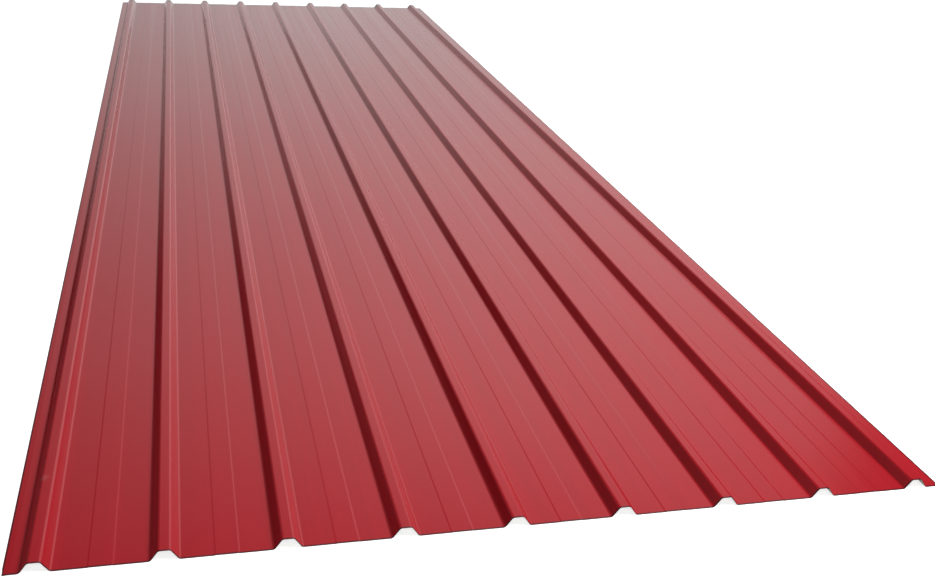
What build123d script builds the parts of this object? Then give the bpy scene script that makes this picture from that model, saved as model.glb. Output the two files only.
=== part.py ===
from build123d import *
import os

# Roll-formed roofing sheet with nine low trapezoid ribs and a shallow raised strip in each pan.
# X runs across the ribs, Y along them and Z up. The undersides of the pans lie at Z = 0.
# The origin is at the middle of the sheet, on the surface that the pans lie on.

# Sizes of the sheet, in millimetres
length = 3500.0
thickness = 0.5
rib_count = 9
rib_pitch = 137.5

# Sizes of a rib: width at its base, width of its crown, height and inside radius of its bends
rib_base = 32.0
rib_crown = 13.5
rib_height = 13.0
rib_bend_radius = 4.0

# Sizes of the raised strip in a pan: width at its base, run of each slope, height, inside radius
strip_base = 29.0
strip_slope = 2.0
strip_height = 0.9
strip_bend_radius = 1.0

# Sizes of the side laps. The left one stands a little above the pans and ends in a lip
# that comes down to their level, and the right one is plain.
left_lap_flat = 10.5
left_lap_rise = 1.5
left_lip_width = 7.5
lip_bend_radius = 3.0
right_lap = 20.5

# What follows from the sizes
rib_span = (rib_count - 1) * rib_pitch
left_lap = left_lap_flat + left_lip_width
overall_width = left_lap + rib_base + rib_span + right_lap
first_rib = -overall_width / 2 + left_lap + rib_base / 2
half_thickness = thickness / 2


def rib_points(centre, left_foot):
    """Corners of one rib on the sheet's middle line, from left to right."""
    return [
        (centre - rib_base / 2, half_thickness + left_foot),
        (centre - rib_crown / 2, half_thickness + rib_height),
        (centre + rib_crown / 2, half_thickness + rib_height),
        (centre + rib_base / 2, half_thickness),
    ]


def strip_points(centre):
    """Corners of one raised strip on the sheet's middle line, from left to right."""
    crown = strip_base - 2 * strip_slope
    return [
        (centre - strip_base / 2, half_thickness),
        (centre - crown / 2, half_thickness + strip_height),
        (centre + crown / 2, half_thickness + strip_height),
        (centre + strip_base / 2, half_thickness),
    ]


def middle_line():
    """Filleted line through the middle of the sheet's thickness, from the left edge to the right."""
    lip_corner = -overall_width / 2 + left_lip_width
    points = [
        (-overall_width / 2, half_thickness),
        (lip_corner, half_thickness + left_lap_rise),
    ]
    inside_radii = [lip_bend_radius]
    for rib in range(rib_count):
        centre = first_rib + rib * rib_pitch
        points += rib_points(centre, left_lap_rise if rib == 0 else 0)
        inside_radii += [rib_bend_radius] * 4
        if rib < rib_count - 1:
            points += strip_points(centre + rib_pitch / 2)
            inside_radii += [strip_bend_radius] * 4
    points.append((overall_width / 2, half_thickness))
    radii = [radius + half_thickness for radius in inside_radii]
    return FilletPolyline(*points, radius=radii)


def sheet():
    """The sheet's section, one thickness wide about its middle line, drawn out to full length."""
    with BuildPart() as body:
        with BuildSketch(Plane.XZ):
            with BuildLine() as line:
                middle_line()
            trace(line.line, line_width=thickness)
        extrude(amount=length / 2, both=True)
    return body.part


os.makedirs("parts", exist_ok=True)
profiled_sheet = sheet()
profiled_sheet.label = "profiled_sheet"
export_step(profiled_sheet, "parts/profiled_sheet.step")
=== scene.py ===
import math

import bmesh
import bpy
from bpy.props import FloatProperty, FloatVectorProperty, IntProperty, PointerProperty
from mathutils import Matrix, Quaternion, Vector


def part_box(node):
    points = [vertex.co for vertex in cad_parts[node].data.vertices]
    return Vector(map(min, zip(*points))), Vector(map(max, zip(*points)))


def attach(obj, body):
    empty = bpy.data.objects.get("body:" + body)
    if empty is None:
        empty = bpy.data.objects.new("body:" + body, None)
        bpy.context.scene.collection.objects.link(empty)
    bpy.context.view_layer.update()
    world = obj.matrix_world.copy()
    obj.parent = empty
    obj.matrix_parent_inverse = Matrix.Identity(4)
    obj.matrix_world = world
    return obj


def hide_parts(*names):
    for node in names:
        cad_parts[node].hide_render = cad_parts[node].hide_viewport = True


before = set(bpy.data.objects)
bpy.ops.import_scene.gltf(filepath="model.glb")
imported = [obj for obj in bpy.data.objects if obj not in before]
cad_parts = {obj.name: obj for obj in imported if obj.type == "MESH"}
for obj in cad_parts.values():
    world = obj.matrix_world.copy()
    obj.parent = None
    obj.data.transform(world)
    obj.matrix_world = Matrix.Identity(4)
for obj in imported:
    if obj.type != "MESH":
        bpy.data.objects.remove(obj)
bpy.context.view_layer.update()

bl_info = {
    "name": "Profiled Roofing Sheet",
    "version": (1, 0, 0),
    "blender": (4, 5, 0),
    "location": "View3D > Sidebar > Roofing",
    "description": "Models a prepainted trapezoid roofing sheet in its frame, with a plain studio",
    "category": "Object",
}

# The sheet lies with its ribs along Y and the undersides of its pans at Z = 0, in metres.
NODE = "profiled_sheet"
SHEET_LOW, SHEET_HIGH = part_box(NODE)

# Places nearer to each other than this are the same place
CLOSE = 1e-5

# Mesh steps round each kind of bend, and the angle at which an edge stays sharp
RIB_BEND_STEPS = 10
STRIP_BEND_STEPS = 4
LIP_BEND_STEPS = 6
SHARP_ANGLE = math.radians(30.0)

# Width of the camera's sensor in millimetres, side of the floor, and its gap under the sheet
SENSOR_WIDTH = 36.0
FLOOR_SIDE = 60.0
FLOOR_GAP = 0.0003

WHITE = (1.0, 1.0, 1.0, 1.0)


# Settings that a user would change

def distance(name, description, default):
    """A property that holds a length in metres."""
    return FloatProperty(name=name, description=description, default=default, min=0.0,
                         precision=5, unit="LENGTH", subtype="DISTANCE")


def share(name, description, default):
    """A property that holds a part of one."""
    return FloatProperty(name=name, description=description, default=default, min=0.0, max=1.0,
                         subtype="FACTOR")


def power(name, description, default):
    """A property that holds a lamp's power."""
    return FloatProperty(name=name, description=description, default=default, min=0.0,
                         subtype="POWER")


def colour(name, description, default):
    """A property that holds a linear colour."""
    return FloatVectorProperty(name=name, description=description, default=default, size=3,
                               min=0.0, max=1.0, subtype="COLOR")


def point(name, description, default):
    """A property that holds a place in metres."""
    return FloatVectorProperty(name=name, description=description, default=default, size=3,
                               unit="LENGTH", subtype="TRANSLATION")


class RoofingSheetSizes(bpy.types.PropertyGroup):
    """Sizes of the rolled section. The overall width and length come from the frame."""

    rib_count: IntProperty(name="Ribs", description="Number of ribs", default=9, min=2)
    thickness: distance("Thickness", "Thickness of the coated steel", 0.0005)
    rib_pitch: distance("Rib pitch", "From one rib's middle to the next", 0.1375)
    rib_base: distance("Rib base", "Width of a rib at its foot", 0.032)
    rib_crown: distance("Rib crown", "Width of a rib's flat top", 0.0135)
    rib_height: distance("Rib height", "From pan to crown", 0.013)
    rib_bend_radius: distance("Rib bend radius", "Inside radius of a rib's bends", 0.004)
    strip_base: distance("Strip base", "Width of the raised strip in a pan", 0.029)
    strip_slope: distance("Strip slope", "Run of each slope of the strip", 0.002)
    strip_height: distance("Strip height", "Height of the strip over the pan", 0.00035)
    strip_bend_radius: distance("Strip bend radius", "Inside radius of a strip's bends", 0.001)
    lap_flat: distance("Left lap flat", "Width of the left lap inside its lip", 0.0105)
    lap_rise: distance("Left lap rise", "Height of the left lap over the pans", 0.0005)
    lip_width: distance("Lip width", "Width of the lip at the left edge", 0.0075)
    lip_bend_radius: distance("Lip bend radius", "Inside radius of the lip's bend", 0.03)
    row_length: distance("Row length", "Length of the mesh rows along the sheet", 0.125)
    corner_length: distance("Bent corner", "Length of the bent near left corner of the lip", 0.012)
    corner_push: distance("Corner push", "How far the tip of that corner is pushed in", 0.0006)


class RoofingSheetFinish(bpy.types.PropertyGroup):
    """Colours and gloss of the coats."""

    paint: colour("Paint", "Top coat of the face", (0.47, 0.0085, 0.018))
    chalk: colour("Chalk", "Dust and scuffs on the top coat", (0.62, 0.30, 0.30))
    # Dark red of the painted shade along the outer edges and of the darker far ends, also smeared
    # as paint over the cut edge.
    edge_shade_and_smear: colour("Grime", "Dark line along the cut edges of the face", (0.055, 0.006, 0.010))
    back: colour("Back coat", "Coat of the underside", (0.74, 0.71, 0.64))
    steel: colour("Cut steel", "Bare edge of the sheet", (0.10, 0.06, 0.055))
    paint_roughness: share("Paint roughness", "Roughness of the top coat", 0.17)
    back_roughness: share("Back roughness", "Roughness of the back coat", 0.55)
    steel_roughness: share("Steel roughness", "Roughness of the cut edge", 0.5)
    # Width of the painted shade line along the outer edges of the face.
    shade_line_width: distance("Grime width", "Width of the dark line along the outer edges", 0.0028)
    # Length over which the face turns darker towards the far end, the ribs more than the pans.
    far_darkening: distance("Far grime", "Length of the darkened far ends of the ribs", 0.05)
    scuff_place: point("Scuff", "Middle of the scuff on the first rib", (-0.5555, -1.583, 0.0135))
    scuff_size: distance("Scuff size", "Half the width of that scuff", 0.006)


class RoofingStudio(bpy.types.PropertyGroup):
    """Camera, lamps and background."""

    camera_place: point("Camera", "Where the camera stands", (-0.3714, -2.8047, 0.7990))
    camera_aim: point("Aim", "Point on the floor that the camera looks at", (0.1041, -1.0589, 0.0))
    camera_roll: FloatProperty(name="Roll", description="Turn of the camera about its sight line",
                               default=math.radians(3.833), subtype="ANGLE")
    camera_lens: FloatProperty(name="Lens", description="Focal length of the camera",
                               default=42.758, min=1.0, unit="CAMERA")
    key_place: point("Key lamp", "Where the lamp on the right stands", (2.05, -2.3, 3.0))
    key_aim: point("Key aim", "Point that the lamp on the right is turned to", (0.0, -0.6, 0.0))
    key_side: distance("Key side", "Side of the square lamp on the right", 1.4)
    key_power: power("Key power", "Power of the lamp on the right", 136.0)
    far_place: point("Far lamp", "Where the lamp past the far left corner stands", (-2.8, 3.4, 0.9))
    far_aim: point("Far aim", "Point that the far lamp is turned to", (0.0, 1.4, 0.0))
    far_side: distance("Far side", "Side of the square far lamp", 1.2)
    far_power: power("Far power", "Power of the lamp past the far left corner", 26.0)
    ambient: share("Ambient", "Light that comes from all round", 0.125)
    floor_glow: share("Floor glow", "How far the floor by the sheet is lifted to white", 0.78)
    glow_reach: distance("Glow reach", "How far from the sheet the floor turns fully white", 0.6)
    near_gloss: share("Near floor in gloss", "How bright the paint mirrors the near floor", 0.06)
    far_gloss: share("Far floor in gloss", "How bright the paint mirrors the far floor", 0.8)
    shade_width: distance("Shade width", "Width of the grey filter behind the sheet", 7.0)
    shade_height: distance("Shade height", "Height of that filter", 6.0)
    shade_left: distance("Shade left", "How far left of the sheet the filter's middle is", 3.8)
    shade_distance: distance("Shade distance", "How far behind the sheet the filter stands", 5.4)


# Mesh helpers, for edit mode

def start_clean():
    """Leaves any edit mode and deselects everything."""
    if bpy.context.object and bpy.context.object.mode != "OBJECT":
        bpy.ops.object.mode_set(mode="OBJECT")
    bpy.ops.object.select_all(action="DESELECT")


def is_near(value, target):
    """True if two numbers are the same but for rounding."""
    return abs(value - target) < CLOSE


def near_any(value, targets):
    """True if the value is one of the targets."""
    return any(is_near(value, target) for target in targets)


def pick_verts(test):
    """Selects the vertices whose place passes the test."""
    bpy.ops.mesh.select_mode(type="VERT")
    data = bpy.context.edit_object.data
    mesh = bmesh.from_edit_mesh(data)
    for vert in mesh.verts:
        vert.select_set(bool(test(vert.co)))
    mesh.select_flush_mode()
    bmesh.update_edit_mesh(data)


def pick_bend_edges(lines):
    """Selects the edges that run along the sheet at the given places across it."""
    bpy.ops.mesh.select_mode(type="EDGE")
    data = bpy.context.edit_object.data
    mesh = bmesh.from_edit_mesh(data)
    for edge in mesh.edges:
        first, last = edge.verts[0].co, edge.verts[1].co
        edge.select_set(is_near(first.x, last.x) and near_any(first.x, lines))
    mesh.select_flush_mode()
    bmesh.update_edit_mesh(data)


def score_across(line):
    """Cuts the whole mesh with a line along the sheet, at a place across it."""
    bpy.ops.mesh.select_all(action="SELECT")
    bpy.ops.mesh.bisect(plane_co=(line, 0.0, 0.0), plane_no=(1.0, 0.0, 0.0))


def score_along(row):
    """Cuts the whole mesh with a line across the sheet, at a place along it."""
    bpy.ops.mesh.select_all(action="SELECT")
    bpy.ops.mesh.bisect(plane_co=(0.0, row, 0.0), plane_no=(0.0, 1.0, 0.0))


def lift(lines, height):
    """Raises the mesh lines at the given places across the sheet."""
    pick_verts(lambda co: near_any(co.x, lines))
    bpy.ops.transform.translate(value=(0.0, 0.0, height))


def round_bends(lines, middle_radius, turn, steps):
    """Rounds the bends at the given places to a radius on the middle of the sheet."""
    pick_bend_edges(lines)
    bpy.ops.mesh.bevel(offset=middle_radius * math.tan(turn / 2), offset_type="OFFSET",
                       segments=steps, profile=0.5, affect="EDGES")


def apply_modifiers(piece):
    """Applies all of a piece's modifiers, in order."""
    bpy.context.view_layer.objects.active = piece
    for modifier in list(piece.modifiers):
        bpy.ops.object.modifier_apply(modifier=modifier.name)


# Node helpers

class Nodes:
    """Adds and links the nodes of one material or world."""

    def __init__(self, tree):
        self.tree = tree
        tree.nodes.clear()

    def fill(self, socket, value):
        """Links a socket to another one, or gives it a plain value."""
        if isinstance(value, bpy.types.NodeSocket):
            self.tree.links.new(value, socket)
        else:
            socket.default_value = value

    def add(self, kind, inputs=None, **settings):
        """Adds a node, sets its properties and fills its inputs by name or number."""
        node = self.tree.nodes.new(kind)
        for name, value in settings.items():
            setattr(node, name, value)
        for name, value in (inputs or {}).items():
            self.fill(node.inputs[name], value)
        return node

    def calc(self, operation, first, second=0.0):
        """One sum on numbers."""
        return self.add("ShaderNodeMath", {0: first, 1: second}, operation=operation).outputs[0]

    def product(self, first, *others):
        """All the values multiplied."""
        for other in others:
            first = self.calc("MULTIPLY", first, other)
        return first

    def average(self, first, second, second_part):
        """Two values averaged, with the second one's part of the whole."""
        return self.calc("ADD", self.product(first, 1.0 - second_part),
                         self.product(second, second_part))

    def ramp(self, value, low, high, to_low=0.0, to_high=1.0):
        """A value brought smoothly from one range to another, and held at its ends."""
        node = self.add("ShaderNodeMapRange", {"Value": value, "From Min": low, "From Max": high,
                                               "To Min": to_low, "To Max": to_high},
                        interpolation_type="SMOOTHSTEP")
        return node.outputs["Result"]

    def about(self, noise, middle, spread):
        """A value that noise moves a little to both sides of its middle."""
        return self.ramp(noise, 0.3, 0.7, middle - spread, middle + spread)

    def fade(self, angle, low, high, to_low, to_high):
        """A ramp on an angle, with its range in degrees."""
        return self.ramp(angle, math.radians(low), math.radians(high), to_low, to_high)

    def noise(self, vector, scale, stretch=(1.0, 1.0, 1.0), detail=3.0):
        """Noise on a vector, with a scale of its own along each axis."""
        mapped = self.add("ShaderNodeMapping", {"Vector": vector, "Scale": stretch})
        node = self.add("ShaderNodeTexNoise", {"Vector": mapped.outputs["Vector"], "Scale": scale,
                                               "Detail": detail})
        return node.outputs["Fac"]

    def mix(self, factor, first, second):
        """Two colours mixed."""
        node = self.add("ShaderNodeMix", {0: factor}, data_type="RGBA")
        self.fill(node.inputs[6], first)
        self.fill(node.inputs[7], second)
        return node.outputs[2]

    def bump(self, height, strength, depth):
        """A normal that follows a height."""
        return self.add("ShaderNodeBump", {"Height": height, "Strength": strength,
                                           "Distance": depth}).outputs[0]

    def where(self):
        """Object coordinates."""
        return self.add("ShaderNodeTexCoord").outputs["Object"]

    def axes(self, vector):
        """The three numbers of a vector."""
        return self.add("ShaderNodeSeparateXYZ", {0: vector}).outputs[:3]

    def choose(self, factor, first, second):
        """The first shader where the factor is zero and the second one where it is one."""
        return self.add("ShaderNodeMixShader", {0: factor, 1: first, 2: second}).outputs[0]

    def emission(self, strength):
        """White light from a surface."""
        return self.add("ShaderNodeEmission", {"Color": WHITE, "Strength": strength}).outputs[0]

    def background(self, strength):
        """White light from all round."""
        return self.add("ShaderNodeBackground", {"Color": WHITE, "Strength": strength}).outputs[0]


def rgba(linear, part=1.0):
    """A part of a colour, with full cover."""
    return (*(min(1.0, part * channel) for channel in linear), 1.0)


def new_material(name):
    """A fresh material and its nodes."""
    material = bpy.data.materials.new(name)
    material.use_nodes = True
    return material, Nodes(material.node_tree)


def finish_material(nodes, shader):
    """Links the shader to the material's output."""
    nodes.add("ShaderNodeOutputMaterial", {"Surface": shader})


# Materials of the sheet

def edge_distance(nodes, across, along):
    """How far a place is inside the nearest outer edge of the sheet."""
    half_length = (SHEET_HIGH.y - SHEET_LOW.y) / 2
    half_width = (SHEET_HIGH.x - SHEET_LOW.x) / 2
    middle = (SHEET_HIGH.x + SHEET_LOW.x) / 2
    from_end = nodes.calc("SUBTRACT", half_length, nodes.calc("ABSOLUTE", along))
    off_middle = nodes.calc("ABSOLUTE", nodes.calc("SUBTRACT", across, middle))
    from_side = nodes.calc("SUBTRACT", half_width, off_middle)
    return nodes.calc("MINIMUM", from_end, from_side)


def scuff_mask(nodes, where, finish):
    """One where the small scuff is, broken up by noise, and zero elsewhere."""
    apart = nodes.add("ShaderNodeVectorMath", {0: where, 1: finish.scuff_place},
                      operation="DISTANCE").outputs["Value"]
    near = nodes.ramp(apart, 0.4 * finish.scuff_size, 1.6 * finish.scuff_size, 1.0, 0.0)
    crumbs = nodes.noise(where, 260.0)
    return nodes.product(near, nodes.ramp(crumbs, 0.38, 0.58))


def painted_edge_shade(nodes, across, along, finish):
    """How much of the painted shade line along the outer edges covers a place."""
    inside = edge_distance(nodes, across, along)
    line = nodes.ramp(inside, 0.5 * finish.shade_line_width, finish.shade_line_width, 1.0, 0.0)
    return nodes.product(line, 0.85)


def far_end_darkening(nodes, along, up, finish):
    """How much the face is darkened towards the far end. The ribs are darkened more than the pans.
    """
    from_end = nodes.ramp(along, SHEET_HIGH.y - finish.far_darkening, SHEET_HIGH.y)
    on_rib = nodes.ramp(up, 0.3 * SHEET_HIGH.z, 0.7 * SHEET_HIGH.z, 0.4, 0.9)
    return nodes.product(from_end, on_rib)


def red_paint(finish):
    """Satin red top coat with rolling streaks, a little chalk, a scuff, painted shade along the
    outer edges and darker far ends.
    """
    material, nodes = new_material("red_prepaint")
    where = nodes.where()
    across, along, up = nodes.axes(where)

    fine = nodes.noise(where, 1.0, (420.0, 0.9, 0.0), detail=2.0)
    broad = nodes.noise(where, 1.0, (55.0, 0.25, 0.0), detail=2.0)
    streaks = nodes.average(fine, broad, 0.7)
    coat = nodes.mix(nodes.ramp(streaks, 0.35, 0.65),
                     rgba(finish.paint, 0.96), rgba(finish.paint, 1.03))

    cloud = nodes.noise(where, 2.2, (1.0, 0.6, 0.0), detail=4.0)
    dust = nodes.product(nodes.ramp(cloud, 0.45, 0.75), 0.02)
    scuff = nodes.product(scuff_mask(nodes, where, finish), 0.16)
    coat = nodes.mix(nodes.calc("MAXIMUM", dust, scuff), coat, rgba(finish.chalk))
    # Painted shade: a dark line along the outer edges of the face.
    coat = nodes.mix(painted_edge_shade(nodes, across, along, finish), coat, rgba(finish.edge_shade_and_smear))
    # Darker towards the far end, more on the ribs than on the pans.
    coat = nodes.mix(far_end_darkening(nodes, along, up, finish), coat, rgba(finish.edge_shade_and_smear))

    peel = nodes.noise(where, 1.0, (700.0, 500.0, 500.0), detail=2.0)
    finish_material(nodes, nodes.add("ShaderNodeBsdfPrincipled", {
        "Base Color": coat, "IOR": 1.5, "Normal": nodes.bump(peel, 0.05, 0.0002),
        "Roughness": nodes.about(streaks, finish.paint_roughness, 0.03)}).outputs[0])
    return material


def back_coat(finish):
    """Thin matt grey coat of the underside, with the marks of the rolls."""
    material, nodes = new_material("grey_back_coat")
    where = nodes.where()
    marks = nodes.noise(where, 1.0, (160.0, 1.2, 0.0))
    cloud = nodes.noise(where, 6.0, detail=4.0)
    tone = nodes.average(marks, cloud, 0.5)
    coat = nodes.mix(nodes.ramp(tone, 0.35, 0.65), rgba(finish.back, 0.82), rgba(finish.back))
    grain = nodes.noise(where, 900.0)
    finish_material(nodes, nodes.add("ShaderNodeBsdfPrincipled", {
        "Base Color": coat, "IOR": 1.45, "Normal": nodes.bump(grain, 0.08, 0.0002),
        "Roughness": nodes.about(tone, finish.back_roughness, 0.06)}).outputs[0])
    return material


def cut_edge(finish):
    """Sheared steel edge: dull grey with paint dragged over it."""
    material, nodes = new_material("cut_edge")
    shear = nodes.noise(nodes.where(), 1.0, (900.0, 900.0, 4000.0))
    bare = nodes.mix(nodes.ramp(shear, 0.4, 0.6), rgba(finish.steel), rgba(finish.edge_shade_and_smear))
    finish_material(nodes, nodes.add("ShaderNodeBsdfPrincipled", {
        "Base Color": bare, "Metallic": 0.3, "Normal": nodes.bump(shear, 0.3, 0.0001),
        "Roughness": finish.steel_roughness}).outputs[0])
    return material


# Where the section bends

def left_edge(sizes):
    """Where the middle of the sheet's thickness ends on the left, inside the tilted cut edge."""
    lip_slope = math.atan2(sizes.lap_rise, sizes.lip_width)
    return SHEET_LOW.x + sizes.thickness / 2 * math.sin(lip_slope)


def rib_middles(sizes):
    """Where each rib's middle lies across the sheet."""
    first = left_edge(sizes) + sizes.lip_width + sizes.lap_flat + sizes.rib_base / 2
    return [first + rib * sizes.rib_pitch for rib in range(sizes.rib_count)]


def lines_about(middles, width):
    """The two lines a half width each side of each middle."""
    return [middle + side * width / 2 for middle in middles for side in (-1, 1)]


# Steps of the sheet's making, in edit mode

def flat_blank(sizes):
    """A flat blank in edit mode, as long and wide as the sheet, at the middle of its thickness."""
    low_x = left_edge(sizes)
    bpy.ops.mesh.primitive_plane_add(size=1.0)
    piece = bpy.context.object
    piece.name = "red_profiled_sheet"
    bpy.ops.object.mode_set(mode="EDIT")
    bpy.ops.mesh.select_all(action="SELECT")
    bpy.ops.transform.resize(value=(SHEET_HIGH.x - low_x, SHEET_HIGH.y - SHEET_LOW.y, 1.0))
    bpy.ops.transform.translate(value=((SHEET_HIGH.x + low_x) / 2, 0.0,
                                       SHEET_LOW.z + sizes.thickness / 2))
    return piece


def roll_section(sizes):
    """Scores the blank, lifts the ribs, the strips and the left lap, and rounds the bends."""
    ribs = rib_middles(sizes)
    strips = [rib + sizes.rib_pitch / 2 for rib in ribs[:-1]]
    rib_feet = lines_about(ribs, sizes.rib_base)
    rib_crowns = lines_about(ribs, sizes.rib_crown)
    strip_feet = lines_about(strips, sizes.strip_base)
    strip_crowns = lines_about(strips, sizes.strip_base - 2 * sizes.strip_slope)
    lip_line = left_edge(sizes) + sizes.lip_width
    for line in sorted(rib_feet + rib_crowns + strip_feet + strip_crowns + [lip_line]):
        score_across(line)

    lift(rib_crowns, sizes.rib_height)
    lift(strip_crowns, sizes.strip_height)
    lift([lip_line, rib_feet[0]], sizes.lap_rise)

    rib_turn = math.atan2(sizes.rib_height, (sizes.rib_base - sizes.rib_crown) / 2)
    strip_turn = math.atan2(sizes.strip_height, sizes.strip_slope)
    lip_turn = math.atan2(sizes.lap_rise, sizes.lip_width)
    for lines, inside_radius, turn, steps in (
            (rib_feet + rib_crowns, sizes.rib_bend_radius, rib_turn, RIB_BEND_STEPS),
            (strip_feet + strip_crowns, sizes.strip_bend_radius, strip_turn, STRIP_BEND_STEPS),
            ([lip_line], sizes.lip_bend_radius, lip_turn, LIP_BEND_STEPS)):
        round_bends(lines, inside_radius + sizes.thickness / 2, turn, steps)


def score_rows(sizes):
    """Cuts the rolled mesh into even rows along its length."""
    length = SHEET_HIGH.y - SHEET_LOW.y
    rows = round(length / sizes.row_length)
    for row in range(1, rows):
        score_along(SHEET_LOW.y + row * length / rows)


def push_corner(sizes):
    """Pushes the lip's edge in at its near corner, over half of the length that bends."""
    edge = left_edge(sizes) + CLOSE
    bend_start = SHEET_LOW.y + sizes.corner_length
    bend_end = SHEET_LOW.y + sizes.corner_length / 2
    for row in (bend_start, bend_end):
        score_along(row)
    pick_verts(lambda co: co.x < edge and co.y < bend_end + CLOSE)
    bpy.ops.transform.translate(value=(sizes.corner_push, 0.0, 0.0))


def give_thickness(piece, sizes):
    """Thickens the sheet about its middle, with the back coat below and bare steel at the edges."""
    wall = piece.modifiers.new("wall", "SOLIDIFY")
    wall.thickness = sizes.thickness
    wall.offset = 0.0
    wall.use_even_offset = True
    wall.material_offset = 1
    wall.material_offset_rim = 2
    apply_modifiers(piece)


def smooth_bends(piece):
    """Shades the bends smooth, and keeps the flats beside them flat."""
    bpy.ops.object.shade_smooth_by_angle(angle=SHARP_ANGLE)
    normals = piece.modifiers.new("normals", "WEIGHTED_NORMAL")
    normals.mode = "FACE_AREA"
    normals.weight = 100
    normals.keep_sharp = True
    apply_modifiers(piece)


class ROOFING_OT_sheet(bpy.types.Operator):
    """Model the profiled sheet, one piece of rolled steel"""

    bl_idname = "roofing.sheet"
    bl_label = "Profiled sheet"

    def execute(self, context):
        sizes = context.scene.roofing_sizes
        finish = context.scene.roofing_finish
        start_clean()
        piece = flat_blank(sizes)
        roll_section(sizes)
        score_rows(sizes)
        push_corner(sizes)
        bpy.ops.mesh.select_all(action="SELECT")
        bpy.ops.mesh.remove_doubles(threshold=CLOSE)
        bpy.ops.object.mode_set(mode="OBJECT")

        for material in (red_paint(finish), back_coat(finish), cut_edge(finish)):
            piece.data.materials.append(material)
        give_thickness(piece, sizes)
        smooth_bends(piece)

        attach(piece, "root")
        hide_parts(NODE)
        return {"FINISHED"}


# The studio

def mirrored_wall(nodes):
    """How bright the wall behind the sheet looks in gloss, by direction."""
    across, along, up = nodes.axes(nodes.add("ShaderNodeTexCoord").outputs["Generated"])
    azimuth = nodes.calc("ARCTAN2", across, along)
    height = nodes.calc("ARCSINE", up)

    # Azimuth runs from straight behind the sheet to the right, and both angles are in degrees here.
    # The wall dims slowly to the left, to the right and upwards, and has an end on the right.
    wall = nodes.product(
        nodes.fade(azimuth, -70, -45, 0.04, 1.0),
        nodes.fade(azimuth, -10, 10, 0.60, 0.97),
        nodes.fade(azimuth, 20, 62, 1.0, 0.1),
        nodes.fade(azimuth, 35, 39.2, 1.0, 0.16),
        nodes.fade(height, 26, 46, 1.0, 0.08))

    # Where the ribs and the far pans see it, it is a little darker or lighter than that.
    foot = nodes.fade(height, 3, 9, 1.0, 0.0)
    left_foot = nodes.product(foot, nodes.fade(azimuth, -12.5, -9.5, 0.0, 1.0),
                              nodes.fade(azimuth, -8, -4, 1.0, 0.0))
    right_foot = nodes.product(foot, nodes.fade(azimuth, 8, 14, 0.0, 1.0))
    middle = nodes.product(nodes.fade(height, 9, 22, 0.0, 1.0),
                           nodes.fade(azimuth, 5, 16, 1.0, 0.0))
    low_right = nodes.product(nodes.fade(height, 9, 17, 1.0, 0.0),
                              nodes.fade(azimuth, 19, 29, 0.0, 1.0))
    changes = ((middle, -0.2), (left_foot, 0.9), (right_foot, -0.18), (low_right, -0.22))
    for patch, change in changes:
        wall = nodes.product(wall, nodes.calc("ADD", nodes.product(patch, change), 1.0))
    return wall


def studio_world(studio):
    """White for the camera, a wall behind the sheet for gloss, and even light for the rest."""
    world = bpy.data.worlds.new("studio")
    world.use_nodes = True
    bpy.context.scene.world = world
    nodes = Nodes(world.node_tree)
    path = nodes.add("ShaderNodeLightPath").outputs
    mirrors = nodes.calc("MAXIMUM", path["Is Glossy Ray"], path["Is Transmission Ray"])
    even, wall = nodes.background(studio.ambient), nodes.background(mirrored_wall(nodes))
    lit = nodes.choose(mirrors, even, wall)
    shown = nodes.choose(path["Is Camera Ray"], lit, nodes.background(1.0))
    nodes.add("ShaderNodeOutputWorld", {"Surface": shown})


def floor_material(studio):
    """Pale floor that the camera sees lifted to white, and that still takes the shadow."""
    material, nodes = new_material("pale_floor")
    where = nodes.where()
    across, along, _ = nodes.axes(where)
    grain = nodes.noise(where, 60.0, detail=4.0)
    pale = nodes.mix(nodes.ramp(grain, 0.3, 0.7), rgba(WHITE[:3], 0.84), rgba(WHITE[:3], 0.88))
    matt = nodes.add("ShaderNodeBsdfDiffuse", {"Color": pale}).outputs[0]

    path = nodes.add("ShaderNodeLightPath").outputs
    inside = edge_distance(nodes, across, along)
    glow = nodes.ramp(inside, -studio.glow_reach, 0.0, 1.0, studio.floor_glow)
    lifted = nodes.emission(nodes.product(path["Is Camera Ray"], glow))
    shown = nodes.add("ShaderNodeAddShader", {0: matt, 1: lifted}).outputs[0]

    mirrored = nodes.emission(nodes.ramp(along, -1.1, 0.1, studio.near_gloss, studio.far_gloss))
    finish_material(nodes, nodes.choose(path["Is Glossy Ray"], shown, mirrored))
    return material


def floor(studio):
    """A pale level floor just under the sheet."""
    bpy.ops.mesh.primitive_plane_add(size=FLOOR_SIDE, location=(0.0, 0.0, SHEET_LOW.z - FLOOR_GAP))
    ground = bpy.context.object
    ground.name = "floor"
    ground.data.materials.append(floor_material(studio))


def shade_material():
    """Grey filter, dark on the left and clear on the right, and darker still close to the floor."""
    material, nodes = new_material("left_shade")
    across, _, up = nodes.axes(nodes.where())
    dark = nodes.ramp(up, 0.4, 3.2, 0.01, 0.26)
    side = nodes.ramp(across, -3.2, -0.8, dark, 1.0)
    clear = nodes.ramp(across, -1.3, -0.7)
    low = nodes.calc("MAXIMUM", nodes.ramp(up, 0.12, 0.34, 0.05, 1.0), clear)
    shader = nodes.add("ShaderNodeBsdfTransparent", {"Color": nodes.product(side, low)})
    finish_material(nodes, shader.outputs[0])
    return material


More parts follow.
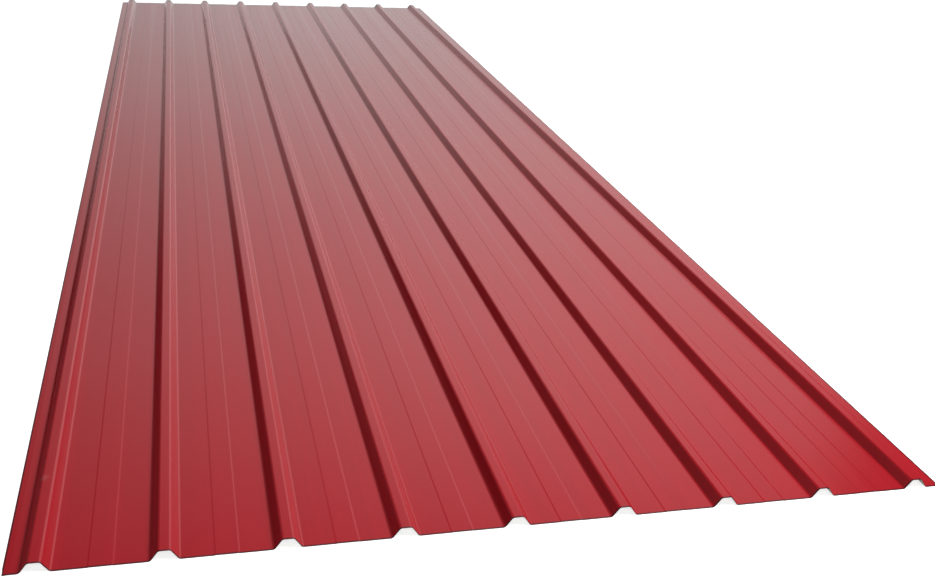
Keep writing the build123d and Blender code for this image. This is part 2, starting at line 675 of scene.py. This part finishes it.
def left_shade(studio):
    """Upright filter behind the sheet, seen by gloss alone, for the dark that the ribs mirror."""
    bpy.ops.mesh.primitive_plane_add(size=1.0)
    shade = bpy.context.object
    shade.name = "left_shade"
    bpy.ops.object.mode_set(mode="EDIT")
    bpy.ops.mesh.select_all(action="SELECT")
    bpy.ops.transform.resize(value=(studio.shade_width, studio.shade_height, 1.0))
    bpy.ops.transform.rotate(value=math.radians(90.0), orient_axis="X",
                             center_override=(0.0, 0.0, 0.0))
    bpy.ops.transform.translate(value=(-studio.shade_left, studio.shade_distance,
                                       studio.shade_height / 2))
    bpy.ops.object.mode_set(mode="OBJECT")
    shade.data.materials.append(shade_material())
    shade.visible_camera = False
    shade.visible_diffuse = False
    shade.visible_transmission = False
    shade.visible_volume_scatter = False
    shade.visible_shadow = False


def towards(place, aim):
    """The turn that makes a lamp or camera at a place look at a point."""
    return (aim - place).to_track_quat("-Z", "Y")


def soft_lamp(name, place, aim, side, watts):
    """A square soft lamp at a place, turned to a point."""
    bpy.ops.object.light_add(type="AREA", location=place, rotation=towards(place, aim).to_euler())
    lamp = bpy.context.object
    lamp.name = name
    lamp.data.shape = "SQUARE"
    lamp.data.size = side
    lamp.data.energy = watts
    return lamp


def studio_camera(studio):
    """The camera, which looks along the sheet from above its near end."""
    place = Vector(studio.camera_place)
    roll = Quaternion((0.0, 0.0, 1.0), studio.camera_roll)
    turn = towards(place, Vector(studio.camera_aim)) @ roll
    bpy.ops.object.camera_add(location=place, rotation=turn.to_euler())
    camera = bpy.context.object
    camera.name = "camera"
    camera.data.sensor_width = SENSOR_WIDTH
    camera.data.lens = studio.camera_lens
    camera.data.clip_start = 0.05
    camera.data.clip_end = 200.0
    bpy.context.scene.camera = camera


class ROOFING_OT_studio(bpy.types.Operator):
    """Set up the floor, lamps, background and camera"""

    bl_idname = "roofing.studio"
    bl_label = "Studio"

    def execute(self, context):
        studio = context.scene.roofing_studio
        start_clean()
        floor(studio)
        left_shade(studio)
        studio_world(studio)
        soft_lamp("key_lamp", Vector(studio.key_place), Vector(studio.key_aim),
                  studio.key_side, studio.key_power)
        far_lamp = soft_lamp("far_lamp", Vector(studio.far_place), Vector(studio.far_aim),
                             studio.far_side, studio.far_power)
        far_lamp.visible_glossy = False
        studio_camera(studio)
        context.scene.view_settings.view_transform = "Standard"
        return {"FINISHED"}


# Panel and registration

class ROOFING_PT_panel(bpy.types.Panel):
    """Sidebar panel that lists the steps and their settings"""

    bl_label = "Roofing sheet"
    bl_idname = "ROOFING_PT_panel"
    bl_space_type = "VIEW_3D"
    bl_region_type = "UI"
    bl_category = "Roofing"

    def draw(self, context):
        for settings in (context.scene.roofing_sizes, context.scene.roofing_finish,
                         context.scene.roofing_studio):
            box = self.layout.box()
            for name in settings.__annotations__:
                box.prop(settings, name)
        self.layout.operator(ROOFING_OT_sheet.bl_idname)
        self.layout.operator(ROOFING_OT_studio.bl_idname)


CLASSES = (RoofingSheetSizes, RoofingSheetFinish, RoofingStudio,
           ROOFING_OT_sheet, ROOFING_OT_studio, ROOFING_PT_panel)


def register():
    """Adds the classes and their settings."""
    for one in CLASSES:
        bpy.utils.register_class(one)
    bpy.types.Scene.roofing_sizes = PointerProperty(type=RoofingSheetSizes)
    bpy.types.Scene.roofing_finish = PointerProperty(type=RoofingSheetFinish)
    bpy.types.Scene.roofing_studio = PointerProperty(type=RoofingStudio)


def unregister():
    """Takes the settings and classes away."""
    del bpy.types.Scene.roofing_sizes
    del bpy.types.Scene.roofing_finish
    del bpy.types.Scene.roofing_studio
    for one in reversed(CLASSES):
        bpy.utils.unregister_class(one)


def main():
    """Makes the sheet and the studio."""
    register()
    bpy.ops.roofing.sheet()
    bpy.ops.roofing.studio()


if __name__ == "__main__":
    main()
